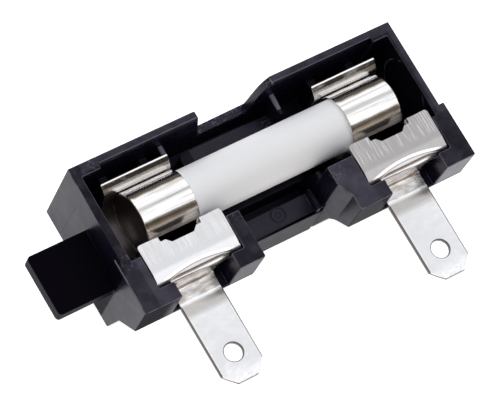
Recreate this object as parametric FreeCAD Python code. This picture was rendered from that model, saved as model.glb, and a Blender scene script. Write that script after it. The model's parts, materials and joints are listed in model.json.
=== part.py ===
import FreeCAD, Part
import math
import os

# Open-top holder for a 6 x 30 mm cartridge fuse, in millimetres.
# X runs along the fuse, -Y towards the connection tabs, +Z out of the open top.
# The origin is on the flat back face, straight under the middle of the fuse.

V = FreeCAD.Vector

# ---- fuse ----
FUSE_LENGTH = 30.0
CAP_DIA = 6.1
CAP_LENGTH = 6.0
CAP_END = 0.4            # thickness of the cap's closed end
TUBE_DIA = 5.45
TUBE_BORE = 3.6
SOLDER_LENGTH = 0.8
WIRE_DIA = 0.3

# ---- housing ----
DEPTH = 10.8             # back face to rim
AXIS_DEPTH = 3.0         # fuse axis below the rim
LEFT, RIGHT = -18.95, 18.45
REAR, FRONT = 6.65, -9.35
STEP = 0.55              # the front half is this much wider at each end
STEP_Y = -3.25
WALL = 0.9
FOOT_Y = -6.4            # front wall at the back face
BLOCK_HEIGHT = 4.85      # front face of the terminal blocks
GUSSET_Y, GUSSET_DROP = -7.15, 7.2
LEFT_BLOCK_END = -5.9    # inner side of the left terminal block
RIGHT_BLOCK_END = 4.45   # inner side of the right terminal block
LEDGE_Y = -4.1           # inner edge of the terminal blocks
FLOOR = 2.2              # top of the pocket floor
PARTITION_TOP = 7.9
PARTITION = 0.45
LEFT_POCKET_END, RIGHT_POCKET_END = -8.65, 4.85
SLOT_LEFT, SLOT_RIGHT = 3.15, 3.35   # tab slot each side of the terminal's middle

# ---- waist between the blocks ----
WAIST_TOP = 5.1
PLATFORM_TOP = 4.9
NOTCH_Z = 5.4            # bottom of the finger notch in the rear wall
NOTCH_LEFT, NOTCH_LEFT_FOOT = -4.6, -3.2

# ---- mounting lug ----
LUG_LENGTH = 6.65
LUG_CORNER = 0.4
LUG_REAR, LUG_FRONT = 1.5, -5.0
LUG_TOP, LUG_THICK = 7.0, 1.5

# ---- clip terminals ----
SHEET = 0.5
CLIP_PITCH = 24.4
JAW_GAP = 3.08           # half the opening between the jaws
JAW_LEFT, JAW_RIGHT = 4.1, 3.45   # jaw each side of the terminal's middle
LIP_Y = 4.42             # rear end of the rear jaw's flared lip
PLATE_DROOP = 0.26       # fall of the plate's front edge
PLATE_WIDTH = 9.4
STRIP_Y = -7.6           # outer face of the upright strip
TAB_WIDTH = 4.75
TAB_TOP_DEPTH = 3.9      # tab's top face below the rim
TAB_TIP = -18.5
TAB_HOLE_DIA = 1.9
TAB_HOLE_FROM_TIP = 3.0

AXIS_Z = DEPTH - AXIS_DEPTH
CLIP_X = (-CLIP_PITCH / 2, CLIP_PITCH / 2)
PLATE_Z = DEPTH - SHEET / 2
TAB_Z = DEPTH - TAB_TOP_DEPTH - SHEET / 2


def box(x0, x1, y0, y1, z0, z1):
    return Part.makeBox(x1 - x0, y1 - y0, z1 - z0, V(x0, y0, z0))


def prism(points, direction):
    """Solid swept straight from a flat outline of 3-D points."""
    outline = Part.makePolygon([V(*p) for p in points] + [V(*points[0])])
    return Part.Face(outline).extrude(V(*direction))


def along_x(points, x0, x1):
    return prism([(x0, y, z) for y, z in points], (x1 - x0, 0, 0))


def along_y(points, y0, y1):
    return prism([(x, y0, z) for x, z in points], (0, y1 - y0, 0))


def along_z(points, z0, z1):
    return prism([(x, y, z0) for x, y in points], (0, 0, z1 - z0))


def rod(radius, x0, x1, y=0.0, z=AXIS_Z):
    return Part.makeCylinder(radius, x1 - x0, V(x0, y, z), V(1, 0, 0))


def sheet_section(path, radii, thickness):
    """Closed YZ outline of a bent sheet: centre-line corners and their bend radii."""
    pts = [V(0, y, z) for y, z in path]
    sides = []
    for offset in (thickness / 2, -thickness / 2):
        edges = []
        start = None
        for i in range(len(pts)):
            if i == 0:
                d = (pts[1] - pts[0]).normalize()
                start = pts[0] + V(0, -d.z, d.y) * offset
                continue
            d0 = (pts[i] - pts[i - 1]).normalize()
            n0 = V(0, -d0.z, d0.y) * offset
            if i == len(pts) - 1:
                edges.append(Part.makeLine(start, pts[i] + n0))
                continue
            d1 = (pts[i + 1] - pts[i]).normalize()
            turn = math.acos(max(-1.0, min(1.0, d0.dot(d1))))
            side = 1 if d0.y * d1.z - d0.z * d1.y > 0 else -1
            reach = radii[i] * math.tan(turn / 2)
            n1 = V(0, -d1.z, d1.y) * offset
            a = pts[i] - d0 * reach + n0
            b = pts[i] + d1 * reach + n1
            centre = pts[i] - d0 * reach + V(0, -d0.z, d0.y) * (side * radii[i])
            r = radii[i] - side * offset
            middle = centre + (pts[i] - centre).normalize() * r
            if (a - start).Length > 1e-6:
                edges.append(Part.makeLine(start, a))
            edges.append(Part.Arc(a, middle, b).toShape())
            start = b
        sides.append(edges)
    ends = []
    for k in (0, -1):
        a = sides[0][k].Vertexes[k].Point
        b = sides[1][k].Vertexes[k].Point
        ends.append(Part.makeLine(a, b))
    wire = Part.Wire(Part.__sortEdges__(sides[0] + [ends[1]] + sides[1] + [ends[0]]))
    return Part.Face(wire)


def clip_terminal(cx):
    """One stamped strip: tab, upright, plate, front jaw, saddle, rear jaw and lip."""
    def z(rel):
        return AXIS_Z + rel
    jaw = JAW_GAP + SHEET / 2
    strip = STRIP_Y + SHEET / 2
    path = [(TAB_TIP, TAB_Z), (strip, TAB_Z), (strip, PLATE_Z - PLATE_DROOP),
            (strip + 1.15, PLATE_Z), (-jaw, PLATE_Z),
            (-jaw, z(-jaw)), (jaw, z(-jaw)), (jaw, z(0.75)), (LIP_Y, z(1.42))]
    radii = [0, 0.45, 0.45, 1.5, 0.3, jaw - 0.12, jaw - 0.12, 0.6, 0]
    face = sheet_section(path, radii, SHEET)
    face.translate(V(cx - 6, 0, 0))
    blank = face.extrude(V(12, 0, 0))

    half, tab = PLATE_WIDTH / 2, TAB_WIDTH / 2
    plate = box(cx - half, cx + half, STRIP_Y + 1.6, -JAW_GAP, DEPTH - SHEET, DEPTH)
    plate = plate.makeFillet(0.35, [e for e in plate.Edges
                                    if e.Length < SHEET + 0.01 and e.Vertexes[0].Y > -4])
    front_bend = box(cx - half, cx + half, STRIP_Y - 0.1, STRIP_Y + 1.6, DEPTH - 1.0, DEPTH + 0.1)
    jaws = box(cx - JAW_LEFT, cx + JAW_RIGHT, LEDGE_Y + 0.1, LIP_Y + 0.02, 0, DEPTH + 0.1)
    jaws = jaws.makeFillet(0.4, [e for e in jaws.Edges
                                 if abs(e.Vertexes[0].Z - e.Vertexes[-1].Z) > 5
                                 and e.Vertexes[0].Y > 0])
    upright = along_y([(cx - half, DEPTH), (cx - half, DEPTH - 1.1), (cx - tab, DEPTH - 1.4),
                       (cx - tab, TAB_Z - 0.6), (cx + tab, TAB_Z - 0.6), (cx + tab, DEPTH - 2.1),
                       (cx + half, DEPTH - 1.0), (cx + half, DEPTH)], STRIP_Y - 0.1, STRIP_Y + 1.0)
    cut_x, cut_y = 1.25, 1.36
    tab_plan = along_z([(cx - tab, STRIP_Y + 0.3), (cx - tab, TAB_TIP + cut_y),
                        (cx - tab + cut_x, TAB_TIP), (cx + tab - cut_x, TAB_TIP),
                        (cx + tab, TAB_TIP + cut_y), (cx + tab, STRIP_Y + 0.3)],
                       TAB_Z - 0.6, TAB_Z + 0.6)
    piece = blank.common(front_bend.fuse([jaws, upright, tab_plan])).fuse(plate)

    # Bevelled tip, top and bottom.
    top, low, bevel = TAB_Z + SHEET / 2, TAB_Z - SHEET / 2, 0.14
    for edge_z, sign in ((top, 1), (low, -1)):
        piece = piece.cut(along_x([(TAB_TIP - 0.1, edge_z - sign * (bevel + 0.02)),
                                   (TAB_TIP + 0.75, edge_z + sign * 0.0001),
                                   (TAB_TIP - 0.1, edge_z + sign * 0.1)], cx - 4, cx + 4))
    # Round hole near the tip.
    hole_y = TAB_TIP + TAB_HOLE_FROM_TIP
    piece = piece.cut(Part.makeCylinder(TAB_HOLE_DIA / 2, 2, V(cx, hole_y, TAB_Z - 1)))
    # Relief window across the fold between the plate and the front jaw.
    fold = -JAW_GAP
    window = along_z([(cx - 2.3, fold + 1), (cx - 2.3, fold + 0.05), (cx - 1.25, fold - 1.0),
                      (cx + 1.25, fold - 1.0), (cx + 2.3, fold + 0.05), (cx + 2.3, fold + 1)],
                     DEPTH - SHEET - 0.1, DEPTH + 1)
    slant = along_y([(cx - 2.3, DEPTH + 1), (cx - 2.3, DEPTH - 0.2), (cx - 1.25, DEPTH - 1.4),
                     (cx + 1.25, DEPTH - 1.4), (cx + 2.3, DEPTH - 0.2), (cx + 2.3, DEPTH + 1)],
                    fold - SHEET - 0.02, fold + 0.5)
    return piece.cut(window).cut(slant).removeSplitter()


def terminal_seat(cx):
    """What one terminal takes out of the housing: ledge, strip recess and tab slot."""
    half = PLATE_WIDTH / 2 + 0.1
    ledge = box(cx - half, cx + half, STRIP_Y - 0.05, LEDGE_Y + 0.5, DEPTH - SHEET, DEPTH + 1)
    strip = along_y([(cx - half, DEPTH + 1), (cx - half, DEPTH - 1.2), (cx - 2.5, DEPTH - 1.5),
                     (cx - 2.5, TAB_Z - SHEET / 2), (cx + 2.5, TAB_Z - SHEET / 2),
                     (cx + 2.5, DEPTH - 2.3), (cx + half, DEPTH - 1.1), (cx + half, DEPTH + 1)],
                    STRIP_Y - 0.05, STRIP_Y + SHEET + 0.75)
    slot = box(cx - SLOT_LEFT, cx + SLOT_RIGHT, FRONT - 1, STRIP_Y + SHEET,
               TAB_Z - SHEET / 2, DEPTH + 1)
    return ledge.fuse([strip, slot])


def housing():
    """Moulded body: two terminal blocks joined by a low waist, open at the top."""
    rear_half = box(LEFT, RIGHT, STEP_Y, REAR, 0, DEPTH)
    block_end = [(STEP_Y, 0), (FOOT_Y, 0), (GUSSET_Y, DEPTH - GUSSET_DROP),
                 (FRONT, DEPTH - BLOCK_HEIGHT), (FRONT, DEPTH), (STEP_Y, DEPTH)]
    left_block = along_x(block_end, LEFT - STEP, LEFT_BLOCK_END)
    right_block = along_x(block_end, RIGHT_BLOCK_END, RIGHT + STEP)
    waist = box(LEFT_BLOCK_END, RIGHT_BLOCK_END, FOOT_Y - 0.1, STEP_Y, 0, DEPTH)
    lug = box(LEFT - LUG_LENGTH, LEFT + 0.5, LUG_FRONT, LUG_REAR, LUG_TOP - LUG_THICK, LUG_TOP)
    lug = lug.makeFillet(LUG_CORNER, [e for e in lug.Edges if e.Length < LUG_THICK + 0.01
                                      and e.Vertexes[0].X < LEFT - 1])
    body = rear_half.fuse([left_block, right_block, waist, lug])

    # The right block's inner side runs out obliquely towards the front.
    body = body.cut(along_z([(RIGHT_BLOCK_END - 0.1, FRONT - 1), (RIGHT_BLOCK_END - 0.1, -6.1),
                             (RIGHT_BLOCK_END, -6.1), (RIGHT_BLOCK_END + 0.8, -7.7),
                             (RIGHT_BLOCK_END + 0.8, FRONT - 1)], -1, DEPTH + 1))

    # Clip pockets, divided from the middle by a thin partition each.
    inner_rear = REAR - WALL
    left_wall, right_wall = LEFT_POCKET_END, RIGHT_POCKET_END
    thin = PARTITION
    body = body.cut(box(LEFT + WALL, left_wall, LEDGE_Y, inner_rear, FLOOR, DEPTH + 1))
    body = body.cut(box(right_wall, RIGHT - WALL, LEDGE_Y, inner_rear, FLOOR, DEPTH + 1))
    body = body.cut(box(left_wall + thin, right_wall - thin, LEDGE_Y, inner_rear,
                        FLOOR, DEPTH + 1))
    body = body.cut(box(left_wall - 0.1, right_wall + 0.1, LEDGE_Y, inner_rear,
                        PARTITION_TOP, DEPTH + 1))
    # The partitions are cut away round the fuse.
    saddle = rod(CAP_DIA / 2 + 0.35, left_wall - 1, right_wall + 1)
    above = box(left_wall - 1, right_wall + 1, -CAP_DIA / 2 - 0.35, CAP_DIA / 2 + 0.35,
                AXIS_Z, DEPTH + 1)
    body = body.cut(saddle.fuse(above))

    # Platform under the ceramic tube.
    platform = box(-5.95, right_wall - thin + 0.1, -2.8, 4.85, FLOOR - 0.5, PLATFORM_TOP)
    body = body.fuse(platform.makeFillet(0.7, [e for e in platform.Edges
                                               if e.Vertexes[0].X < -5 and e.Vertexes[0].Y > 4
                                               and e.Vertexes[1].X < -5 and e.Vertexes[1].Y > 4]))

    # Two saddle ribs under each clip.
    for cx in CLIP_X:
        for side in (-2.3, 2.3):
            rib = box(cx + side - 0.5, cx + side + 0.5, LEDGE_Y, inner_rear, FLOOR - 0.1, 6.2)
            body = body.fuse(rib.cut(rod(JAW_GAP + SHEET + 0.06, cx - 5, cx + 5))
                             .cut(box(cx - 5, cx + 5, -1, 1, AXIS_Z - 3.6, DEPTH)))

    # Thicker pads in the two rear corners.
    for x0, x1 in ((LEFT + 0.1, -15.9), (15.85, RIGHT - 0.1)):
        body = body.fuse(box(x0, x1, inner_rear - 0.4, inner_rear + 0.1, FLOOR - 0.1, DEPTH))
    # Inner chamfer of the raised rear rim.
    for x0, x1 in ((-15.9, NOTCH_LEFT), (4.15, 15.85)):
        body = body.cut(along_x([(inner_rear - 0.1, DEPTH - 0.7), (inner_rear, DEPTH - 0.6),
                                 (inner_rear + 0.25, DEPTH + 0.1), (inner_rear - 0.1, DEPTH + 0.1)],
                                x0, x1))

    # Finger notches: low waist in front, cut-down rear wall with one sloping end.
    body = body.cut(box(LEFT_BLOCK_END, RIGHT_BLOCK_END, FRONT - 1, LEDGE_Y,
                        WAIST_TOP, DEPTH + 1))
    body = body.cut(along_y([(NOTCH_LEFT, DEPTH + 1), (NOTCH_LEFT, DEPTH),
                             (NOTCH_LEFT_FOOT, NOTCH_Z), (2.35, NOTCH_Z), (2.6, NOTCH_Z + 0.3),
                             (2.8, NOTCH_Z + 1.1), (3.0, NOTCH_Z + 2.5), (3.25, NOTCH_Z + 3.75),
                             (3.6, NOTCH_Z + 4.7), (4.15, DEPTH), (4.15, DEPTH + 1)],
                            inner_rear - 0.2, REAR + 1))
    rib = box(3.55, 3.95, FOOT_Y, LEDGE_Y, WAIST_TOP - 0.1, WAIST_TOP + 0.9)
    body = body.fuse(rib)

    for cx in CLIP_X:
        body = body.cut(terminal_seat(cx))
    return body.removeSplitter()


def end_cap(side):
    """Closed cap pressed over the tube; side is -1 at the left and +1 at the right."""
    end = side * FUSE_LENGTH / 2
    inner = side * (FUSE_LENGTH / 2 - CAP_LENGTH)
    x0, x1 = min(end, inner), max(end, inner)
    cap = rod(CAP_DIA / 2, x0, x1)
    outer_edges = [e for e in cap.Edges if abs(e.Vertexes[0].X - end) < 1e-6
                   and abs(e.Vertexes[-1].X - end) < 1e-6 and hasattr(e.Curve, "Radius")]
    cap = cap.makeFillet(0.3, outer_edges)
    bore_end = side * (FUSE_LENGTH / 2 - CAP_END)
    b0, b1 = sorted((bore_end, inner - side))
    return cap.cut(rod(TUBE_DIA / 2, b0, b1))


def ceramic_tube():
    half = FUSE_LENGTH / 2 - CAP_END
    return rod(TUBE_DIA / 2, -half, half).cut(rod(TUBE_BORE / 2, -half - 1, half + 1))


def fuse_wire():
    half = FUSE_LENGTH / 2 - CAP_END
    return rod(WIRE_DIA / 2, -half, half)


def solder(side):
    """Solder plug joining the wire to the inside of one cap."""
    end = side * (FUSE_LENGTH / 2 - CAP_END)
    x0, x1 = sorted((end, end - side * SOLDER_LENGTH))
    return rod(TUBE_BORE / 2, x0, x1).cut(fuse_wire())


def sand_filler():
    half = FUSE_LENGTH / 2 - CAP_END - SOLDER_LENGTH
    return rod(TUBE_BORE / 2, -half, half).cut(fuse_wire())


parts = {
    "housing": housing(),
    "left_clip_terminal": clip_terminal(CLIP_X[0]),
    "right_clip_terminal": clip_terminal(CLIP_X[1]),
    "ceramic_tube": ceramic_tube(),
    "left_end_cap": end_cap(-1),
    "right_end_cap": end_cap(1),
    "fuse_wire": fuse_wire(),
    "sand_filler": sand_filler(),
    "left_solder": solder(-1),
    "right_solder": solder(1),
}

os.makedirs("parts", exist_ok=True)
for node, shape in parts.items():
    shape.exportStep("parts/" + node + ".step")
    print(node, "solids", len(shape.Solids), "valid", shape.isValid(),
          "volume mm3", round(shape.Volume, 2))
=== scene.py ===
import json
import math

import bmesh
import bpy
from bpy.props import FloatProperty, FloatVectorProperty, IntProperty, PointerProperty
from bpy.types import Operator, Panel, PropertyGroup
from mathutils import Matrix, Vector

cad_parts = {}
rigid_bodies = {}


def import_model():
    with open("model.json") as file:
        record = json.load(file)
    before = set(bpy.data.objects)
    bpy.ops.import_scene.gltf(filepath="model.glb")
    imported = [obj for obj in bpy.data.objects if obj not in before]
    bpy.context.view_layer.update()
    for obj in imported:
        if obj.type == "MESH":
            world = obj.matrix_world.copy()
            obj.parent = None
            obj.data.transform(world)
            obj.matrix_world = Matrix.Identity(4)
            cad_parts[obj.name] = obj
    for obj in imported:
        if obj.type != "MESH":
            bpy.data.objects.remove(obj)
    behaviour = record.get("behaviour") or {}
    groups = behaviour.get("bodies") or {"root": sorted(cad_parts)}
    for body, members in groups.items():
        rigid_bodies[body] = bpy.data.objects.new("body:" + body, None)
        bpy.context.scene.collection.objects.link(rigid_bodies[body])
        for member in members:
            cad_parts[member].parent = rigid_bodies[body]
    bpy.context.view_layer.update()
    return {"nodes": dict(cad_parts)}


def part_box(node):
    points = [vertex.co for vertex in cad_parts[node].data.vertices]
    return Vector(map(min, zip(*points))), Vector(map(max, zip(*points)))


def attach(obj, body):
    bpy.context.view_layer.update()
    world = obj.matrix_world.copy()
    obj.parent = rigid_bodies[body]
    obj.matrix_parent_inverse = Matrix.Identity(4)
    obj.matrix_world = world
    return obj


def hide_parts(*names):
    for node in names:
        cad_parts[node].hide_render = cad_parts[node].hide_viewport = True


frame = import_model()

bl_info = {
    "name": "Cartridge fuse holder",
    "version": (1, 0, 0),
    "blender": (4, 5, 0),
    "location": "3D View > Sidebar > Fuse holder",
    "description": "Open-top holder for a 6 x 30 mm cartridge fuse, with its clips and its fuse",
    "category": "Object",
}

MM = 0.001

TERMINALS = ("left_clip_terminal", "right_clip_terminal")
TUBE_LOW, TUBE_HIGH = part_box("ceramic_tube")
AXIS_Z = (TUBE_LOW.z + TUBE_HIGH.z) / 2

# Places on the holder as the finishes and the tool marks read them, in millimetres.
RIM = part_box("housing")[1].z / MM         # top of the moulding and of the strips
CAP_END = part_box("right_end_cap")[1].x / MM
LEFT_END, FRONT_FACE = -18.95, -9.35      # the moulding's left end and its front
HOLLOW = ((-18.2, 17.7), (-3.9, 5.6))     # between the moulding's walls, along x and y
WAIST = (-5.7, 4.2)                       # the low part between the terminals, along x
POSTS = ((-8.68, -8.17), (4.37, 4.88))    # partitions beside the clip pockets, along x
STRIP_FRONT = -7.6                        # outer face of a strip's upright part, along y
TAB_TOP = RIM - 3.9
TAB_HALF, TIP_HALF, SHEET = 2.375, 1.7, 0.5    # half widths of the tab, thickness of the strip
HOLE_FROM_TIP, HOLE_RADIUS = 3.0, 0.95

# Scuffed places on the moulding and how far each spreads.
SCUFFS = (((-18.2, -4.0, 10.6), 1.5), ((-17.3, 6.2, 10.7), 1.8), ((3.9, 6.2, 10.4), 0.7),
          ((5.2, -5.0, 10.8), 1.2), ((-6.5, -4.3, 10.8), 0.9), ((4.1, 3.8, 5.0), 1.1),
          ((-4.6, 6.0, 10.6), 0.7), ((-15.6, -8.2, 7.0), 1.0))

# Rows of tool marks: start, end, how many, the size of the largest, and the scatter.
CRUMBS = (((-2.9, 6.2, 5.4), (2.2, 6.2, 5.4), 80, (0.08, 0.05, 0.025), (0.05, 0.36, 0.0)),
          ((-18.9, -3.8, RIM), (-17.2, -4.3, RIM), 26, (0.09, 0.06, 0.03), (0.1, 0.25, 0.0)),
          ((-18.6, 6.1, RIM), (-16.1, 6.1, RIM), 22, (0.06, 0.05, 0.02), (0.1, 0.4, 0.0)),
          ((4.7, -4.4, RIM), (4.9, -7.4, RIM), 16, (0.07, 0.05, 0.02), (0.15, 0.1, 0.0)),
          ((3.0, 4.2, 4.9), (4.3, 4.2, 4.9), 24, (0.09, 0.05, 0.02), (0.1, 0.5, 0.0)))
# Round rims left by the ejector pins: centre, radius, width and height.
EJECTOR_RINGS = (((-0.1, -4.95, 5.1), 0.75, 0.16, 0.09), ((-0.1, -4.95, 5.1), 0.28, 0.12, 0.06),
                 ((6.36, -5.33, RIM), 0.42, 0.10, 0.03), ((-6.53, -4.75, RIM), 0.42, 0.10, 0.03))


def middle_and_tip(node):
    """A terminal's middle along x and its tab's tip along y, in millimetres."""
    low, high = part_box(node)
    return (low.x + high.x) / 2 / MM, low.y / MM


# ---------------------------------------------------------------- settings

def length(name, description, default):
    """A size in metres."""
    return FloatProperty(name=name, description=description, default=default,
                         subtype="DISTANCE", unit="LENGTH", precision=6, min=0.0)


def colour(name, description, default):
    """A colour as linear red, green and blue."""
    return FloatVectorProperty(name=name, description=description, default=default,
                               subtype="COLOR", size=3, min=0.0, max=1.0)


def angle(name, description, degrees):
    """An angle, given here in degrees and kept in radians."""
    return FloatProperty(name=name, description=description, default=math.radians(degrees),
                         subtype="ANGLE", unit="ROTATION")


class HolderHousing(PropertyGroup):
    edge_round: length("Edge rounding", "Radius on the moulding's outside edges", 0.13 * MM)
    shortest_edge: length("Shortest rounded edge", "Edges shorter than this stay sharp",
                          0.75 * MM)
    plastic: colour("Plastic", "Body colour of the moulding", (0.0058, 0.0046, 0.0125))
    # This colour also paints the highlights along the edges and the sheen on the finger tops.
    dust_and_highlight: colour("Dust", "Colour of scuffs and of dust in the corners", (0.22, 0.20, 0.27))


class HolderTerminals(PropertyGroup):
    edge_round: length("Edge rounding", "Radius left by the stamping on the strip's edges",
                       0.07 * MM)
    shortest_edge: length("Shortest rounded edge", "Edges shorter than this stay sharp",
                          0.12 * MM)
    plating: colour("Plating", "Colour of the plated strip", (0.93, 0.935, 0.95))
    # This colour also paints the reflections at the tab's root and on the plate's front band.
    worn_and_reflection: colour("Worn plating", "Colour where the plating is rubbed dull",
                         (0.42, 0.40, 0.40))
    # This colour also paints warm reflections on the jaw's lip, the jaw and the tab's root.
    tarnish_and_reflection: colour("Tarnish", "Warm tint in the folds", (0.62, 0.50, 0.38))


class HolderFuse(PropertyGroup):
    corner_round: length("Corner rounding", "Radius between a cap's end and its side", 0.3 * MM)
    cap_dish: length("Cap dish", "Hollow in the middle of a cap's closed end", 0.03 * MM)
    cap_swell: length("Cap swell", "Height of the shallow rings pressed into a cap", 0.012 * MM)
    cap_lip: length("Cap lip", "Radius of the cap's rolled open rim", 0.09 * MM)
    tube_wall: length("Tube wall", "Thickness of the ceramic tube's wall", 0.925 * MM)
    tube_edge: length("Tube edge rounding", "Radius at the ceramic tube's ends", 0.15 * MM)
    steps_round: IntProperty(name="Steps round", description="Flat steps round a turned piece",
                             default=144, min=16, max=512)
    ceramic: colour("Ceramic", "Colour of the tube", (0.91, 0.925, 0.95))
    cap_plating: colour("Cap plating", "Colour of the cap's nickel", (0.86, 0.85, 0.84))


class HolderStage(PropertyGroup):
    floor_size: length("Floor size", "Side of the square floor", 3.0)
    floor_colour: colour("Floor", "Colour of the floor", (0.93, 0.93, 0.93))
    target: FloatVectorProperty(name="Camera target", description="Point the camera looks at",
                                default=(-0.001868, -0.002439, 0.005), subtype="TRANSLATION",
                                unit="LENGTH", precision=6)
    distance: length("Camera distance", "Camera to target", 0.31634)
    heading: angle("Heading", "Direction of view from +Y towards +X", 61.6105)
    elevation: angle("Elevation", "Height of the camera above the floor", 63.4275)
    roll: angle("Roll", "Turn of the camera about its own line of view", 33.2921)
    lens: FloatProperty(name="Lens", description="Focal length in millimetres on a 36 mm sensor",
                        default=232.92, min=1.0)
    key_power: FloatProperty(name="Key light", description="Power of the key soft box in watts",
                             default=0.12, min=0.0)


class HolderSettings(PropertyGroup):
    housing: PointerProperty(type=HolderHousing, name="Housing", description="The moulding")
    terminals: PointerProperty(type=HolderTerminals, name="Terminals",
                               description="The two clip terminals")
    fuse: PointerProperty(type=HolderFuse, name="Fuse", description="The cartridge fuse")
    stage: PointerProperty(type=HolderStage, name="Stage", description="Floor, light, camera")


def settings():
    return bpy.context.scene.fuse_holder


# ---------------------------------------------------------------- node trees

class Socket:
    """One output of a node. Sums on it add Math nodes to its tree."""

    def __init__(self, tree, socket):
        self.tree, self.socket = tree, socket

    def maths(self, operation, *values):
        return self.tree.node("ShaderNodeMath", {"operation": operation}, values)

    def __add__(self, other):
        return self.maths("ADD", self, other)

    def __sub__(self, other):
        return self.maths("SUBTRACT", self, other)

    def __rsub__(self, other):
        return self.maths("SUBTRACT", other, self)

    def __mul__(self, other):
        return self.maths("MULTIPLY", self, other)

    def __truediv__(self, other):
        return self.maths("DIVIDE", self, other)

    def __abs__(self):
        return self.maths("ABSOLUTE", self)

    def at_least(self, other):
        return self.maths("MAXIMUM", self, other)

    __radd__, __rmul__ = __add__, __mul__


class NodeTree:
    """A shader tree that is written one call for each node."""

    def __init__(self, tree):
        self.tree = tree
        tree.nodes.clear()

    def node(self, kind, choices=None, inputs=(), output=0):
        """Adds a node: its choices are set first, then the values or links of its sockets."""
        made = self.tree.nodes.new(kind)
        for name, value in (choices or {}).items():
            setattr(made, name, value)
        pairs = inputs.items() if isinstance(inputs, dict) else enumerate(inputs)
        for name, value in pairs:
            if isinstance(value, Socket):
                self.tree.links.new(value.socket, made.inputs[name])
            elif made.inputs[name].type == "RGBA":
                made.inputs[name].default_value = (*value[:3], 1.0)
            else:
                made.inputs[name].default_value = value
        return Socket(self, made.outputs[output]) if made.outputs else None

    def step(self, value, low, high):
        """0 below low and 1 above high, with a soft change between; low may be above high."""
        return self.node("ShaderNodeMapRange", {"interpolation_type": "SMOOTHSTEP"},
                         {"Value": value, "From Min": low, "From Max": high})

    def band(self, value, low, high, soft):
        """1 between low and high, fading out over soft."""
        return self.step(value, low - soft, low) * self.step(value, high + soft, high)

    def mix(self, amount, first, second):
        """Blend of two colours: sockets 6 and 7 and output 2 of a Mix node are its colours."""
        return self.node("ShaderNodeMix", {"data_type": "RGBA"},
                         {"Factor": amount, 6: first, 7: second}, output=2)

    def split(self, vector):
        parts = self.node("ShaderNodeSeparateXYZ", None, [vector])
        outputs = parts.socket.node.outputs
        return [Socket(self, outputs[axis]) for axis in range(3)]

    def vector(self, operation, *values, output="Vector", scale=None):
        inputs = dict(enumerate(values))
        if scale is not None:
            inputs["Scale"] = scale
        return self.node("ShaderNodeVectorMath", {"operation": operation}, inputs, output)


class Recipe(NodeTree):
    """A geometry tree with named inputs, run on a mesh to give another plain mesh."""

    def __init__(self, name, **kinds):
        super().__init__(bpy.data.node_groups.new(name, "GeometryNodeTree"))
        face = self.tree.interface
        face.new_socket(name="Geometry", in_out="INPUT", socket_type="NodeSocketGeometry")
        self.keys = {label: face.new_socket(name=label.replace("_", " "), in_out="INPUT",
                                            socket_type="NodeSocket" + kind).identifier
                     for label, kind in kinds.items()}
        face.new_socket(name="Geometry", in_out="OUTPUT", socket_type="NodeSocketGeometry")
        start = self.node("NodeGroupInput").socket.node.outputs
        self.shape = Socket(self, start["Geometry"])
        self.given = {label: Socket(self, start[label.replace("_", " ")]) for label in kinds}

    def close(self, shape):
        """Ends the tree: instances made real, then the material."""
        real = self.node("GeometryNodeRealizeInstances", None, [shape])
        dressed = self.node("GeometryNodeSetMaterial", None,
                            {"Geometry": real, "Material": self.given["Material"]})
        self.node("NodeGroupOutput", None, [dressed])

    def run(self, mesh, **values):
        """Sets the inputs by their sockets' identifiers and bakes the result."""
        work = bpy.data.objects.new("work", mesh)
        bpy.context.scene.collection.objects.link(work)
        modifier = work.modifiers.new("Recipe", "NODES")
        modifier.node_group = self.tree
        for label, value in values.items():
            modifier[self.keys[label]] = value
        graph = bpy.context.evaluated_depsgraph_get()
        made = bpy.data.meshes.new_from_object(work.evaluated_get(graph), depsgraph=graph)
        bpy.data.objects.remove(work)
        return made


class Finish(NodeTree):
    """A procedural material on object coordinates, worked out in millimetres."""

    def __init__(self, name, *shaders):
        """One shader's constants, or two to be mixed: the base and what lies over it."""
        self.material = bpy.data.materials.new(name)
        self.material.use_nodes = True
        super().__init__(self.material.node_tree)
        self.shaders = [self.node("ShaderNodeBsdfPrincipled", None,
                                  {key.replace("_", " "): value
                                   for key, value in constants.items()})
                        for constants in shaders or ({},)]
        surface = self.shaders[0]
        if len(shaders) > 1:
            self.blend = self.node("ShaderNodeMixShader", None, [0.5, *self.shaders])
            surface = self.blend
        self.node("ShaderNodeOutputMaterial", None, {"Surface": surface})
        metres = self.node("ShaderNodeTexCoord", output="Object")
        self.place = self.vector("MULTIPLY", metres, (1000.0,) * 3)
        self.x, self.y, self.z = self.split(self.place)

    def noise(self, scale, detail=3.0, stretch=(1.0, 1.0, 1.0), rough=0.55, output=0):
        """Noise with about scale lumps to the millimetre."""
        where = self.vector("MULTIPLY", self.place, tuple(scale * s for s in stretch))
        return self.node("ShaderNodeTexNoise", None,
                         {"Vector": where, "Scale": 1.0, "Detail": detail, "Roughness": rough},
                         output=output)

    def bump(self, height, distance, strength=1.0, below=None):
        """Turns a height into a normal; distance is in millimetres."""
        inputs = {"Height": height, "Distance": distance * MM, "Strength": strength}
        if below:
            inputs["Normal"] = below
        return self.node("ShaderNodeBump", None, inputs)

    def feed(self, over=None, **links):
        """Links what varies; over is where the second shader covers the first."""
        if over:
            self.tree.links.new(over.socket, self.blend.socket.node.inputs[0])
        for shader in self.shaders:
            for name, value in links.items():
                self.tree.links.new(value.socket,
                                    shader.socket.node.inputs[name.replace("_", " ")])
        return self.material


# ---------------------------------------------------------------- finishes

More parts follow.
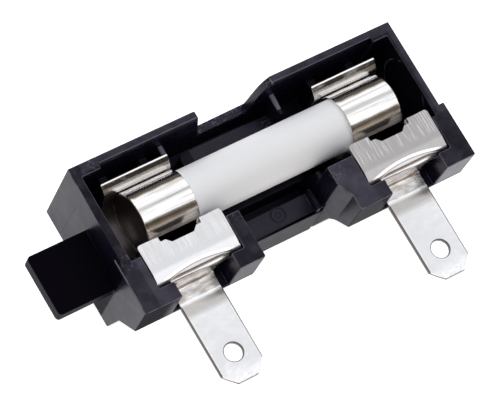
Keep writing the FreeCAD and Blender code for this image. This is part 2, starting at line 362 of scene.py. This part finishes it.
def moulded_plastic():
    """Black moulded plastic: satin skin over a matt core, scuffed corners, painted edge
    highlights and painted shade.
    """
    own = settings().housing
    made = Finish("moulded_plastic", {"Specular_IOR_Level": 0.0},
                  {"Specular_IOR_Level": 0.56, "Specular_Tint": (0.86, 0.84, 1.0)})
    x, y, z = made.x, made.y, made.z
    grain = made.noise(4.0, 3.0)
    blotch = made.noise(0.8, 4.0)

    # Scuffs, where the tool shut and where the strips were pressed in.
    fleck = made.step(made.noise(3.0, 5.0, rough=0.7), 0.50, 0.64)
    scuff = None
    for spot, reach in SCUFFS:
        away = made.vector("DISTANCE", made.place, spot, output="Value")
        near = made.step(away, reach, reach * 0.3)
        scuff = near if scuff is None else scuff.at_least(near)
    # The cut-down rear rim is rough all along.
    rim = made.band(x, -3.4, 2.3, 0.3) * made.step(y, 5.7, 5.85) * made.band(z, 5.2, 5.7, 0.1)
    scuff = scuff.at_least(rim) * fleck

    # Fine parting line that climbs across the left end face.
    seam = abs(y - 3.7 + (z - 5.0) * 0.023)
    seam = made.step(seam, 0.07, 0.02) * made.step(x, LEFT_END + 0.25, LEFT_END + 0.05)
    seam = seam * made.step(z, 8.8, 7.8)

    # The lug has a thin satin skin. Along the inner walls, the waist, some tops and front faces
    # the satin is cut and the colour darkened: painted shade.
    lug = made.step(x, LEFT_END + 0.05, LEFT_END - 0.15) * made.step(y, -5.3, -5.1)
    shelf = made.band(x, -4.6, 4.2, 0.2) * made.band(z, 4.84, 4.96, 0.03) * made.step(y, 2.9, 3.2)
    walls = made.band(x, *HOLLOW[0], 0.3) * made.band(y, *HOLLOW[1], 0.15) * (1 - shelf)
    front = made.step(y, FRONT_FACE + 0.15, FRONT_FACE + 0.01)
    waist = made.step(y, -6.0, -6.3) * made.band(x, *WAIST, 0.3) * made.step(z, 5.3, 5.1)
    end_rim = made.step(x, -17.6, -17.9) * made.step(z, 10.6, 10.7)
    cheeks = made.band(x, -8.6, -5.9, 0.6).at_least(made.band(x, 15.6, 19.0, 0.8))
    cheeks = cheeks * made.step(y, -3.9, -4.2) * made.step(z, 10.6, 10.7)
    matt_and_shade = lug * (0.62 + made.step(z, 6.85, 6.97) * 0.34)
    for place in (walls * 0.55, waist * 0.42, cheeks * 0.5, end_rim * 0.6,
                  front * made.step(x, -15.0, -17.0) * 0.8,
                  front * made.band(x, -8.9, -5.9, 0.2) * 0.2,
                  front * made.band(x, 4.0, 9.0, 0.3) * 0.6):
        matt_and_shade = matt_and_shade.at_least(place)
    top = made.step(z, RIM - 0.02, RIM - 0.005)
    mottle = made.step(blotch, 0.35, 0.7) * (0.08 + top * 0.30)
    satin = (0.66 + mottle) * (1 - matt_and_shade)

    # Painted highlights: light lines are painted along the edges all round the open top and along
    # the rear rim's inner edge.
    corner = made.band(z, RIM - 0.12, RIM - 0.02, 0.01)
    edge = corner * (0.25 + made.step(blotch, 0.30, 0.55) * 0.45)
    edge = edge.at_least(corner * made.band(y, 5.60, 5.95, 0.05) * made.band(x, -16.0, 17.0, 0.5))
    # Painted highlights on the tops of the partitions beside the clip pockets.
    post = made.band(x, *POSTS[0], 0.03).at_least(made.band(x, *POSTS[1], 0.03))
    post = post * made.band(z, 7.78, 7.92, 0.03) * made.band(y, 4.0, 5.6, 0.1)
    # Painted highlight: thin light arcs on the right pocket's end wall.
    from_axis = made.vector("DISTANCE", made.place, (17.5, 0.4, 7.6), output="Value")
    arc_highlight = made.band(from_axis, 3.30, 3.38, 0.06) * made.band(x, 17.4, 17.7, 0.05)
    arc_highlight = arc_highlight * made.step(made.noise(0.9, 2.0), 0.42, 0.55) * made.step(z, 10.4, 10.2)
    edge = edge.at_least(post * 0.8).at_least(arc_highlight * 0.6)
    bloom = top * made.step(made.noise(0.45, 3.0), 0.42, 0.66)
    # Painted sheen on the tops at the left of both blocks' front fingers.
    painted_sheen = made.band(x, -19.6, -16.4, 0.8).at_least(made.band(x, 4.3, 7.2, 0.8))
    painted_sheen = painted_sheen * top * made.step(y, -4.0, -4.4)
    # Painted shade: the plastic colour goes near black where this mask is high; on the lug it is
    # its matt skin.
    tint = made.mix(matt_and_shade * 0.8, own.plastic, (0.002, 0.0016, 0.002))
    # Over the plastic: real scuffs, random lighter patches on the tops, the painted sheen and the
    # painted edge highlights.
    tint = made.mix(scuff * 0.42 + bloom * 0.07 + painted_sheen * 0.07 + edge * 0.85, tint, own.dust_and_highlight)
    rough = 0.27 + blotch * top * 0.16 + scuff * 0.35 + matt_and_shade * 0.2
    height = grain * 0.0016 + blotch * top * 0.03 + scuff * 0.06 - seam * 0.14
    return made.feed(satin, Base_Color=tint, Roughness=rough,
                     Normal=made.bump(height, 1.0, 0.6))


def plated_sheet(node):
    """Tin-plated strip: rolling waves, drawn lines, patina in the folds, painted shade on the
    tab's sheared edges, painted reflections on the plate, the tab and the jaw.
    """
    own = settings().terminals
    centre, tip_y = middle_and_tip(node)
    left = node.startswith("left")
    outward = -1 if left else 1
    made = Finish("plated_" + node, {"Metallic": 1.0})
    x, y, z = made.x, made.y, made.z
    across = abs(x - centre)
    wave = made.noise(0.5, 2.0)
    lines = made.noise(1.0, 3.0, stretch=(9.0, 0.35, 1.0))
    speckle = made.noise(7.0, 3.0)
    patch = made.noise(0.9, 2.0, stretch=(0.6, 1.6, 1.0))

    # Tab: painted shade on the sheared sides and chamfers, a painted shadow of a rolled-over edge
    # round the hole, and the coined tip.
    tab = made.step(y, -9.3, -9.6)
    shear = made.step(across, TAB_HALF - 0.14, TAB_HALF - 0.07)
    chamfer = TIP_HALF * 0.62 - tip_y
    chamfers = made.step(across * 0.62 - y, chamfer - 0.10, chamfer + 0.02)
    sides = made.step(z, TAB_TOP - 0.10, TAB_TOP - 0.16) * made.band(
        z, TAB_TOP - SHEET + 0.08, TAB_TOP, 0.03)
    shear = shear.at_least(chamfers * 0.7).at_least(sides)
    hole = made.vector("DISTANCE", made.place, (centre, tip_y + HOLE_FROM_TIP, TAB_TOP),
                       output="Value")
    lip = made.band(hole, HOLE_RADIUS, HOLE_RADIUS + 0.08, 0.03)
    shade = (shear * made.step(hole, HOLE_RADIUS + 0.2, HOLE_RADIUS + 0.3)).at_least(lip) * tab
    # Painted reflection: a darker, warmer band where the tab leaves the fold, with a painted
    # shade towards its right side.
    root = made.band(y, -10.2, -9.0, 0.9) * tab
    painted_root_shade = made.band(y, -9.7, -8.9, 0.5) * made.step(x - centre, -1.0, 2.2) * tab
    tip = made.step(y, tip_y + 0.8, tip_y + 0.65) * made.step(
        made.noise(3.2, 4.0, rough=0.7), 0.48, 0.60)

    # Plate: dull where it was drawn. A fold line bowing back in the middle is painted: a bright
    # band left plain, a painted dark line and a painted grey band in front, all painted
    # reflections.
    bow = y - STRIP_FRONT - (1 - across * across / 20.0) * 0.72
    top = made.step(z, 9.0, 9.2) * made.step(y, -2.9, -3.0)
    plate = top * made.step(bow, 0.30, 0.38)
    painted_crease = top * made.band(bow, -0.04, 0.02, 0.05)
    bend_reflection = top * made.step(bow, -0.02, -0.12)
    hatch = plate * made.band(y, -5.0, -3.2, 0.7) * made.step(
        made.noise(1.0, 2.0, stretch=(7.0, 0.25, 1.0)), 0.52, 0.60)
    folds = made.band(z, TAB_TOP + 0.02, TAB_TOP + 2.6, 0.2) * made.band(y, -9.0, -7.0, 0.3)

    # Rear jaw's flared lip: its rolled edge keeps the bright plating; a painted dark reflection
    # on the mottled upper face, a painted pale warm reflection on the curve below and a painted
    # shade line where the jaw meets the cap.
    jaw = made.step(y, 2.6, 3.0)
    slope_reflection = made.band(y, 3.74, 4.08, 0.05) * made.step(patch, 0.72, 0.50)
    rolled = made.step(y, 4.08, 4.44)
    cream_reflection = made.band(y, 3.20, 3.70, 0.08)
    contact_shade = jaw * made.step(y, 3.16, 3.02)
    # Painted shadow: the saddle below the cap's closed end is darkened and made rougher.
    beyond = made.step(x * outward, CAP_END - 0.02, CAP_END + 0.05)
    saddle = beyond * made.band(y, -3.4, 3.0, 0.2) * made.step(z, 9.9, 9.6)

    # Worn plating on the plate and in the folds; at the tab's root and on the plate's front band
    # it is a painted reflection.
    dull = (plate * ((0.22 if left else 0.85) + lines * 0.15)).at_least(root * 0.6)
    dull = dull.at_least(folds * made.step(patch, 0.38, 0.62) * 0.8).at_least(bend_reflection * 0.55)
    tint = made.mix(dull * (1 - hatch * 0.55), own.plating, own.worn_and_reflection)
    # Warm patina in the folds, and painted warm reflections on the lip's curve, the tab's root
    # and the jaw.
    warm = (folds * 0.22).at_least(cream_reflection * 0.30).at_least(root * 0.2)
    warm = warm.at_least(jaw * (1 - rolled) * 0.15)
    tint = made.mix(warm + made.step(speckle, 0.58, 0.70) * plate * 0.30, tint, own.tarnish_and_reflection)
    # Painted shade and painted reflections: the lip's upper face, the line at the cap, the
    # saddle, the tab's sides and hole rim, the fold line and the tab's root go dark brown.
    dark = (slope_reflection * 0.88).at_least(contact_shade * 0.7).at_least(saddle * 0.84)
    dark = dark.at_least(shade * 0.95).at_least(painted_crease * 0.5).at_least(painted_root_shade * 0.55)
    tint = made.mix(dark, tint, (0.075, 0.055, 0.045))
    rough = (0.20 + lines * 0.10 + hatch * (0.14 if left else 0.25) + tip * 0.25
             + plate * 0.08 + saddle * 0.15)
    height = (wave * 0.05 + lines * 0.004 - rolled * 0.10
              + speckle * (plate * (0.0 if left else 0.008) + 0.0015)
              + hatch * (0.006 if left else 0.014) + tip * 0.014 - painted_crease * 0.02
              + folds * patch * 0.05)
    return made.feed(Base_Color=tint, Roughness=rough, Normal=made.bump(height, 1.0, 0.7))


def nickel_cap():
    """Bright drawn nickel: streaks along the cap; the closed ends painted dark as a reflection
    with a painted highlight spot; a painted warm reflection on the front flank.
    """
    own = settings().fuse
    made = Finish("nickel_cap", {"Metallic": 1.0})
    y, z = made.y, made.z - AXIS_Z / MM
    streak = made.noise(1.0, 4.0, stretch=(0.12, 3.2, 3.2))
    hair = made.noise(1.0, 2.0, stretch=(0.2, 16.0, 16.0))
    cloud = made.noise(1.1, 3.0)
    end = made.step(abs(made.x), CAP_END - 0.16, CAP_END - 0.04)
    # Painted highlight: a soft light spot on the left cap's closed end.
    from_end_highlight = made.vector("DISTANCE", made.place, (-CAP_END, -0.7, AXIS_Z / MM - 0.9),
                            output="Value")
    end_highlight = end * made.step(from_end_highlight, 1.5, 0.2)
    # Painted reflection: a warm tint on the cap's front flank below its top.
    flank_reflection = made.step(y, -1.9, -2.2) * made.step(z, 2.5, 2.2)
    tint = made.mix(made.step(cloud, 0.5, 0.8) * 0.25, own.cap_plating, (0.66, 0.60, 0.53))
    tint = made.mix(made.step(streak, 0.49, 0.66) * 0.58, tint, (0.40, 0.37, 0.35))
    tint = made.mix(flank_reflection * 0.25, tint, (0.72, 0.56, 0.42))
    # Painted reflection: the closed ends are tinted dark brown, lighter where the painted
    # highlight lies.
    tint = made.mix(end * 0.90 - end_highlight * 0.45, tint, (0.15, 0.105, 0.085))
    rough = 0.10 + hair * 0.08 + cloud * 0.05 + flank_reflection * 0.14 + end * 0.25
    height = streak * 0.012 + hair * 0.0012
    return made.feed(Base_Color=tint, Roughness=rough, Normal=made.bump(height, 1.0, 0.7))


def ceramic():
    """Fired ceramic, matt, with a faint glaze and tiny pores."""
    own = settings().fuse
    made = Finish("ceramic", {"Specular_IOR_Level": 0.35})
    cloud = made.noise(0.35, 3.0)
    pores = made.step(made.noise(5.5, 2.0), 0.68, 0.78)
    tint = made.mix(pores * 0.10 + cloud * 0.05, own.ceramic, (0.60, 0.60, 0.58))
    rough = 0.42 + cloud * 0.12
    height = made.noise(3.0, 3.0) * 0.006 - pores * 0.010
    return made.feed(Base_Color=tint, Roughness=rough, Normal=made.bump(height, 1.0, 0.6))


def fuse_core(name):
    """Wire, sand or solder inside the tube."""
    tints = {"fuse_wire": (0.80, 0.62, 0.30), "sand_filler": (0.62, 0.56, 0.45),
             "left_solder": (0.62, 0.62, 0.63), "right_solder": (0.62, 0.62, 0.63)}
    metal = 0.0 if name == "sand_filler" else 1.0
    made = Finish("core_" + name, {"Metallic": metal})
    grains = made.noise(4.0 if name == "sand_filler" else 1.5, 4.0)
    dark = tuple(part * 0.6 for part in tints[name])
    tint = made.mix(grains, tints[name], dark)
    return made.feed(Base_Color=tint, Roughness=0.45 + grains * 0.4 * (1 - 0.6 * metal),
                     Normal=made.bump(grains * 0.05, 1.0, 0.6))


def paper_floor():
    """Pale matt paper that glows a little, as on a light table."""
    own = settings().stage
    made = Finish("paper_floor", {"Emission_Color": (1.0, 1.0, 1.0), "Emission_Strength": 0.85,
                                  "Specular_IOR_Level": 0.1})
    fibre = made.noise(0.4, 4.0)
    tint = made.mix(fibre * 0.05, own.floor_colour, (0.86, 0.86, 0.86))
    return made.feed(Base_Color=tint, Roughness=0.85 + fibre * 0.1)


# ---------------------------------------------------------------- mesh work

def piece(name, mesh, body, slot, material, *nodes):
    """Links a finished mesh as a piece on a body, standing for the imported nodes."""
    made = bpy.data.objects.new(name, mesh)
    bpy.context.scene.collection.objects.link(made)
    mesh.materials.clear()
    mesh.materials.append(material)
    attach(made, body)
    if nodes:
        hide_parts(*nodes)
    return made


def whole_mesh(node):
    """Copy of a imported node's mesh with its corners joined and its flats made whole."""
    mesh = frame["nodes"][node].data.copy()
    shape = bmesh.new()
    shape.from_mesh(mesh)
    bmesh.ops.remove_doubles(shape, verts=shape.verts, dist=0.002 * MM)
    bmesh.ops.dissolve_limit(shape, angle_limit=math.radians(0.6), verts=shape.verts,
                             edges=shape.edges)
    shape.to_mesh(mesh)
    shape.free()
    for layer in list(mesh.uv_layers):
        mesh.uv_layers.remove(layer)
    if mesh.has_custom_normals:
        mesh.attributes.remove(mesh.attributes["custom_normal"])
    return mesh


def round_edges(made, width, shortest, corner, segments):
    """Rounds the sharp edges that are long enough to carry the radius."""
    shape = bmesh.new()
    shape.from_mesh(made.data)
    weights = shape.edges.layers.float.new("bevel_weight_edge")
    for edge in shape.edges:
        sharp = len(edge.link_faces) == 2 and edge.calc_face_angle(0.0) > corner
        long_enough = edge.calc_length() > shortest
        edge[weights] = 1.0 if sharp and long_enough else 0.0
        edge.smooth = not sharp
    for face in shape.faces:
        face.smooth = True
    shape.to_mesh(made.data)
    shape.free()
    bevel = made.modifiers.new("Rounded edges", "BEVEL")
    bevel.limit_method = "WEIGHT"
    bevel.width, bevel.segments = width, segments
    bevel.use_clamp_overlap = False
    bevel.harden_normals = True
    bevel.miter_outer = "MITER_ARC"


def arc(centre, radius, start, end, steps):
    """Points of an arc in the (x, r) plane, angles in degrees."""
    return [(centre[0] + radius * math.cos(math.radians(start + (end - start) * i / steps)),
             centre[1] + radius * math.sin(math.radians(start + (end - start) * i / steps)))
            for i in range(steps + 1)]


def turning_recipe():
    """Geometry nodes: turns an outline drawn in (x, r) about the fuse's axis."""
    made = Recipe("Turned about the fuse axis", Steps="Int", Axis_height="Float",
                  Material="Material")
    steps = made.given["Steps"]
    rows = steps + 1
    count = made.node("GeometryNodeAttributeDomainSize", None, {"Geometry": made.shape})
    grid = made.node("GeometryNodeMeshGrid", None,
                     {"Size X": 1.0, "Size Y": 1.0, "Vertices X": count, "Vertices Y": rows})
    index = made.node("GeometryNodeInputIndex")
    point = (index / rows + 0.001).maths("FLOOR", index / rows + 0.001)
    turn = (index - point * rows) * math.tau / steps
    place = made.node("GeometryNodeInputPosition")
    outline = made.node("GeometryNodeSampleIndex", {"data_type": "FLOAT_VECTOR"},
                        {"Geometry": made.shape, "Value": place, "Index": point})
    x, r, _ = made.split(outline)
    where = made.node("ShaderNodeCombineXYZ", None,
                      [x, r * turn.maths("SINE", turn),
                       made.given["Axis_height"] + r * turn.maths("COSINE", turn)])
    skin = made.node("GeometryNodeSetPosition", None, {"Geometry": grid, "Position": where})
    made.close(made.node("GeometryNodeMergeByDistance", None,
                         {"Geometry": skin, "Distance": 0.0005 * MM}))
    return made


def turned(recipe, name, outline, material):
    """Mesh of a closed outline in (x, r), turned, with its faces pointing outwards."""
    flat = bpy.data.meshes.new(name)
    points = [(x, r, 0.0) for x, r in (*outline, outline[0])]
    flat.from_pydata(points, [(i, i + 1) for i in range(len(points) - 1)], [])
    mesh = recipe.run(flat, Steps=settings().fuse.steps_round, Axis_height=AXIS_Z,
                      Material=material)
    shape = bmesh.new()
    shape.from_mesh(mesh)
    bmesh.ops.dissolve_degenerate(shape, edges=shape.edges, dist=0.0005 * MM)
    bmesh.ops.recalc_face_normals(shape, faces=shape.faces)
    for face in shape.faces:
        face.smooth = True
    shape.to_mesh(mesh)
    shape.free()
    mesh.name = name
    mesh.set_sharp_from_angle(angle=math.radians(50))
    return mesh


def marks_recipe():
    """Geometry nodes: a row of small low lumps, each placed, turned and sized at random.

    A Random Value node keeps vectors on sockets 0 and 1 and numbers on 2 and 3.
    """
    made = Recipe("Row of marks", Start="Vector", End="Vector", Count="Int", Size="Vector",
                  Scatter="Vector", Turn="Float", Seed="Int", Material="Material")
    given = made.given
    line = made.node("GeometryNodeMeshLine", {"mode": "END_POINTS"},
                     {0: given["Count"], 2: given["Start"], 3: given["End"]})
    minus = made.vector("SCALE", given["Scatter"], scale=-1.0)
    shift = made.node("FunctionNodeRandomValue", {"data_type": "FLOAT_VECTOR"},
                      {0: minus, 1: given["Scatter"], "Seed": given["Seed"]})
    points = made.node("GeometryNodeSetPosition", None, {"Geometry": line, "Offset": shift})
    lump = made.node("GeometryNodeMeshIcoSphere", None, {"Radius": 1.0, "Subdivisions": 1})
    twist = made.node("FunctionNodeRandomValue", {"data_type": "FLOAT"},
                      {2: given["Turn"] * -1.0, 3: given["Turn"], "Seed": given["Seed"] + 1},
                      output=1)
    about_z = made.node("ShaderNodeCombineXYZ", None, [0.0, 0.0, twist])
    grow = made.node("FunctionNodeRandomValue", {"data_type": "FLOAT"},
                     {2: 0.45, 3: 1.0, "Seed": given["Seed"] + 2}, output=1)
    size = made.vector("SCALE", given["Size"], scale=grow)
    turn = made.node("FunctionNodeEulerToRotation", None, [about_z])
    made.close(made.node("GeometryNodeInstanceOnPoints", None,
                         {"Points": points, "Instance": lump, "Rotation": turn,
                          "Scale": size}))
    return made


def rows_of_marks(name, rows, material):
    """One mesh of many rows: (start, end, count, size, scatter), in millimetres."""
    recipe = marks_recipe()
    blank = bpy.data.meshes.new("blank")
    shape = bmesh.new()
    for number, (start, end, count, size, scatter) in enumerate(rows):
        start, end, size, scatter = (tuple(MM * part for part in given)
                                     for given in (start, end, size, scatter))
        shape.from_mesh(recipe.run(blank, Start=start, End=end, Count=count, Size=size,
                                   Scatter=scatter, Turn=0.25, Seed=7 + 10 * number,
                                   Material=material))
    mesh = bpy.data.meshes.new(name)
    shape.to_mesh(mesh)
    shape.free()
    return mesh


def ring(shape, centre, radius, width, height, steps=48):
    """Adds a low round rim to a bmesh, its section a half-rounded bead."""
    section = ((0.5, -0.4), (0.45, 0.6), (0.0, 1.0), (-0.45, 0.6), (-0.5, -0.4))
    hoops = []
    for i in range(steps):
        turn = math.tau * i / steps
        hoops.append([shape.verts.new((MM * (centre[0] + (radius + a * width) * math.cos(turn)),
                                       MM * (centre[1] + (radius + a * width) * math.sin(turn)),
                                       MM * (centre[2] + b * height))) for a, b in section])
    for this, after in zip(hoops, hoops[1:] + hoops[:1]):
        for i in range(len(section)):
            shape.faces.new((this[i - 1], after[i - 1], after[i], this[i]))


def ring_mesh(name, rings):
    """One mesh of several round rims."""
    mesh = bpy.data.meshes.new(name)
    shape = bmesh.new()
    for centre, radius, width, height in rings:
        ring(shape, centre, radius, width, height)
    bmesh.ops.recalc_face_normals(shape, faces=shape.faces)
    for face in shape.faces:
        face.smooth = True
    shape.to_mesh(mesh)
    shape.free()
    return mesh


def cap_outline(node):
    """Drawn cap: dished end, round corner, faintly ringed side, rolled open rim."""
    own = settings().fuse
    low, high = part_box(node)
    side = -1.0 if high.x < 0 else 1.0
    end = low.x if side < 0 else high.x
    long_side = high.x - low.x
    radius = (high.z - low.z) / 2
    bore = (TUBE_HIGH.z - TUBE_LOW.z) / 2
    seat = abs(end) - TUBE_HIGH.x
    corner, lip = own.corner_round, own.cap_lip
    flat = radius - corner
    outline = []
    for i in range(15):
        across = i / 14
        hollow = 0.5 + 0.5 * math.cos(math.pi * across ** 3)
        outline.append((own.cap_dish * hollow, flat * across))
    outline += arc((corner, flat), corner, 170, 90, 8)
    for i in range(1, 24):
        along = corner + (long_side - 2 * corner) * i / 24
        swell = own.cap_swell * (0.5 - 0.5 * math.cos(along / MM * 3.1))
        outline.append((along, radius - swell))
    outline += arc((long_side - lip, radius - lip), lip, 90, 0, 6)
    outline += [(long_side, bore), (seat, bore), (seat, 0.0)]
    return [(end - side * along, r) for along, r in outline]


# ---------------------------------------------------------------- pieces

class FUSEHOLDER_OT_housing(Operator):
    """Dress the moulded housing: rounded edges and black plastic"""
    bl_idname = "fuse_holder.housing"
    bl_label = "Housing"

    def execute(self, context):
        own = settings().housing
        made = piece("housing_moulding", whole_mesh("housing"), "holder", "moulding",
                     moulded_plastic(), "housing")
        round_edges(made, own.edge_round, own.shortest_edge, math.radians(20), 3)
        return {"FINISHED"}


class FUSEHOLDER_OT_terminals(Operator):
    """Dress the two clip terminals: stamped edges and bright plating"""
    bl_idname = "fuse_holder.terminals"
    bl_label = "Clip terminals"

    def execute(self, context):
        own = settings().terminals
        for node in TERMINALS:
            made = piece(node.replace("terminal", "strip"), whole_mesh(node), "holder",
                         "plated_sheet", plated_sheet(node), node)
            round_edges(made, own.edge_round, own.shortest_edge, math.radians(25), 2)
        return {"FINISHED"}


class FUSEHOLDER_OT_tool_marks(Operator):
    """Add the coined tab tips, the drawn lines on the plates and the moulding's crumbs"""
    bl_idname = "fuse_holder.tool_marks"
    bl_label = "Tool marks"

    def execute(self, context):
        for node in TERMINALS:
            centre, tip = middle_and_tip(node)
            # Three rows pressed into the sloping tip, then drawn lines each side of the plate.
            rows = []
            for along in (0.15, 0.36, 0.57):
                row_y, row_z = tip + along, TAB_TOP - 0.14 + along * 0.19
                rows.append(((centre - 1.1, row_y, row_z), (centre + 1.1, row_y, row_z), 16,
                             (0.05, 0.09, 0.018), (0.05, 0.04, 0.0)))
            for side in (-1, 1):
                rows.append(((centre + side * 2.7, -3.75, RIM), (centre + side * 4.4, -3.75, RIM),
                             18, (0.018, 0.42, 0.006), (0.05, 0.28, 0.0)))
            name = node.replace("clip_terminal", "strip_marks")
            finish = bpy.data.objects[node.replace("terminal", "strip")].data.materials[0]
            piece(name, rows_of_marks(name, rows, finish), "holder", "plated_sheet", finish)
        plastic = bpy.data.objects["housing_moulding"].data.materials[0]
        piece("moulding_crumbs", rows_of_marks("moulding_crumbs", CRUMBS, plastic), "holder",
              "moulding", plastic)
        piece("ejector_rings", ring_mesh("ejector_rings", EJECTOR_RINGS), "holder", "moulding",
              plastic)
        return {"FINISHED"}


class FUSEHOLDER_OT_caps(Operator):
    """Turn the fuse's two nickel end caps"""
    bl_idname = "fuse_holder.caps"
    bl_label = "End caps"

    def execute(self, context):
        nickel = nickel_cap()
        recipe = turning_recipe()
        for node in ("left_end_cap", "right_end_cap"):
            name = node.replace("end", "drawn")
            piece(name, turned(recipe, name, cap_outline(node), nickel), "fuse",
                  "cap_plating", nickel, node)
        return {"FINISHED"}


class FUSEHOLDER_OT_tube(Operator):
    """Turn the fuse's ceramic tube"""
    bl_idname = "fuse_holder.tube"
    bl_label = "Ceramic tube"

    def execute(self, context):
        own = settings().fuse
        half = TUBE_HIGH.x
        radius = (TUBE_HIGH.z - TUBE_LOW.z) / 2
        bore = radius - own.tube_wall
        edge = own.tube_edge
        outline = [(-half, bore), *arc((-half + edge, radius - edge), edge, 180, 90, 4),
                   *[(half * i / 12, radius) for i in range(-10, 11)],
                   *arc((half - edge, radius - edge), edge, 90, 0, 4), (half, bore)]
        finish = ceramic()
        piece("ceramic_body", turned(turning_recipe(), "ceramic_body", outline, finish), "fuse",
              "ceramic", finish, "ceramic_tube")
        return {"FINISHED"}


class FUSEHOLDER_OT_core(Operator):
    """Give the wire, the sand and the solder inside the tube their finishes"""
    bl_idname = "fuse_holder.core"
    bl_label = "Fuse core"

    def execute(self, context):
        for node in ("fuse_wire", "sand_filler", "left_solder", "right_solder"):
            mesh = frame["nodes"][node].data
            mesh.materials.clear()
            mesh.materials.append(fuse_core(node))
        return {"FINISHED"}


# ---------------------------------------------------------------- stage

def soft_box(name, power, size, place, aim):
    """Round area light turned to its aim and unseen by the camera."""
    light = bpy.data.lights.new(name, "AREA")
    light.shape, light.size, light.energy = "DISK", size, power
    made = bpy.data.objects.new(name, light)
    bpy.context.scene.collection.objects.link(made)
    made.location = place
    made.rotation_euler = (Vector(aim) - Vector(place)).to_track_quat("-Z", "Y").to_euler()
    made.visible_camera = False


def studio_world():
    """White tent: a broad overhead panel with a darker front, white to the camera."""
    world = bpy.data.worlds.new("White tent")
    bpy.context.scene.world = world
    world.use_nodes = True
    sky = NodeTree(world.node_tree)
    direction = sky.node("ShaderNodeTexCoord", output="Generated")
    x, y, z = sky.split(direction)
    panel = sky.step(z, 0.30, 0.48) * sky.step(y, -0.62, -0.48) * sky.step(x, -0.80, -0.50)
    gap = sky.band(y, 0.16, 0.27, 0.14)
    horizon = sky.step(z, 0.35, 0.05)
    front = sky.step(y, -0.60, -0.75) * sky.step(z, 0.55, 0.30)
    level = 0.08 + panel * (1.25 - gap * 0.64) + horizon * 0.06 + front * 0.42
    tint = sky.mix(panel, (1.0, 0.80, 0.62), (0.97, 0.98, 1.0))
    lit = sky.node("ShaderNodeBackground", None, {"Color": tint, "Strength": level})
    plain = sky.node("ShaderNodeBackground", None, {"Color": (1.0, 1.0, 1.0), "Strength": 1.0})
    seen = sky.node("ShaderNodeLightPath", output="Is Camera Ray")
    both = sky.node("ShaderNodeMixShader", None, [seen, lit, plain])
    sky.node("ShaderNodeOutputWorld", None, {"Surface": both})


class FUSEHOLDER_OT_stage(Operator):
    """Set the floor, the lights and the camera"""
    bl_idname = "fuse_holder.stage"
    bl_label = "Stage"

    def execute(self, context):
        own = settings().stage
        scene = context.scene
        half = own.floor_size / 2
        mesh = bpy.data.meshes.new("floor")
        mesh.from_pydata([(-half, -half, 0), (half, -half, 0), (half, half, 0), (-half, half, 0)],
                         [], [(0, 1, 2, 3)])
        mesh.materials.append(paper_floor())
        floor = bpy.data.objects.new("floor", mesh)
        scene.collection.objects.link(floor)

        studio_world()
        soft_box("Key soft box", own.key_power, 0.45, (-0.34, 0.22, 0.42), (0, 0, 0))
        scene.view_settings.view_transform = "Standard"

        look = Vector((math.sin(own.heading) * math.cos(own.elevation),
                       math.cos(own.heading) * math.cos(own.elevation),
                       -math.sin(own.elevation)))
        level = look.cross(Vector((0, 0, 1))).normalized()
        up = level.cross(look)
        right = level * math.cos(own.roll) + up * math.sin(own.roll)
        up = up * math.cos(own.roll) - level * math.sin(own.roll)
        lens = bpy.data.cameras.new("Camera")
        lens.lens, lens.sensor_width = own.lens, 36.0
        lens.clip_start, lens.clip_end = 0.01, 10.0
        camera = bpy.data.objects.new("Camera", lens)
        scene.collection.objects.link(camera)
        turn = Matrix((right, up, -look)).transposed().to_4x4()
        camera.matrix_world = Matrix.Translation(Vector(own.target) - look * own.distance) @ turn
        scene.camera = camera
        return {"FINISHED"}


class FUSEHOLDER_PT_sidebar(Panel):
    """Lists the operators of the fuse holder"""
    bl_idname = "FUSEHOLDER_PT_sidebar"
    bl_label = "Fuse holder"
    bl_space_type = "VIEW_3D"
    bl_region_type = "UI"
    bl_category = "Fuse holder"

    def draw(self, context):
        for operator in OPERATORS:
            self.layout.operator(operator.bl_idname)
        for name in ("housing", "terminals", "fuse", "stage"):
            group = getattr(context.scene.fuse_holder, name)
            box = self.layout.box()
            box.label(text=name.capitalize())
            for key in group.__annotations__:
                box.prop(group, key)


OPERATORS = (FUSEHOLDER_OT_stage, FUSEHOLDER_OT_housing, FUSEHOLDER_OT_terminals,
             FUSEHOLDER_OT_tool_marks, FUSEHOLDER_OT_caps, FUSEHOLDER_OT_tube,
             FUSEHOLDER_OT_core)
CLASSES = (HolderHousing, HolderTerminals, HolderFuse, HolderStage, HolderSettings,
           *OPERATORS, FUSEHOLDER_PT_sidebar)


def register():
    for cls in CLASSES:
        bpy.utils.register_class(cls)
    bpy.types.Scene.fuse_holder = PointerProperty(type=HolderSettings)


def unregister():
    del bpy.types.Scene.fuse_holder
    for cls in reversed(CLASSES):
        bpy.utils.unregister_class(cls)


def main():
    register()
    for operator in OPERATORS:
        group, name = operator.bl_idname.split(".")
        getattr(getattr(bpy.ops, group), name)()
    bpy.context.view_layer.update()


if __name__ == "__main__":
    main()
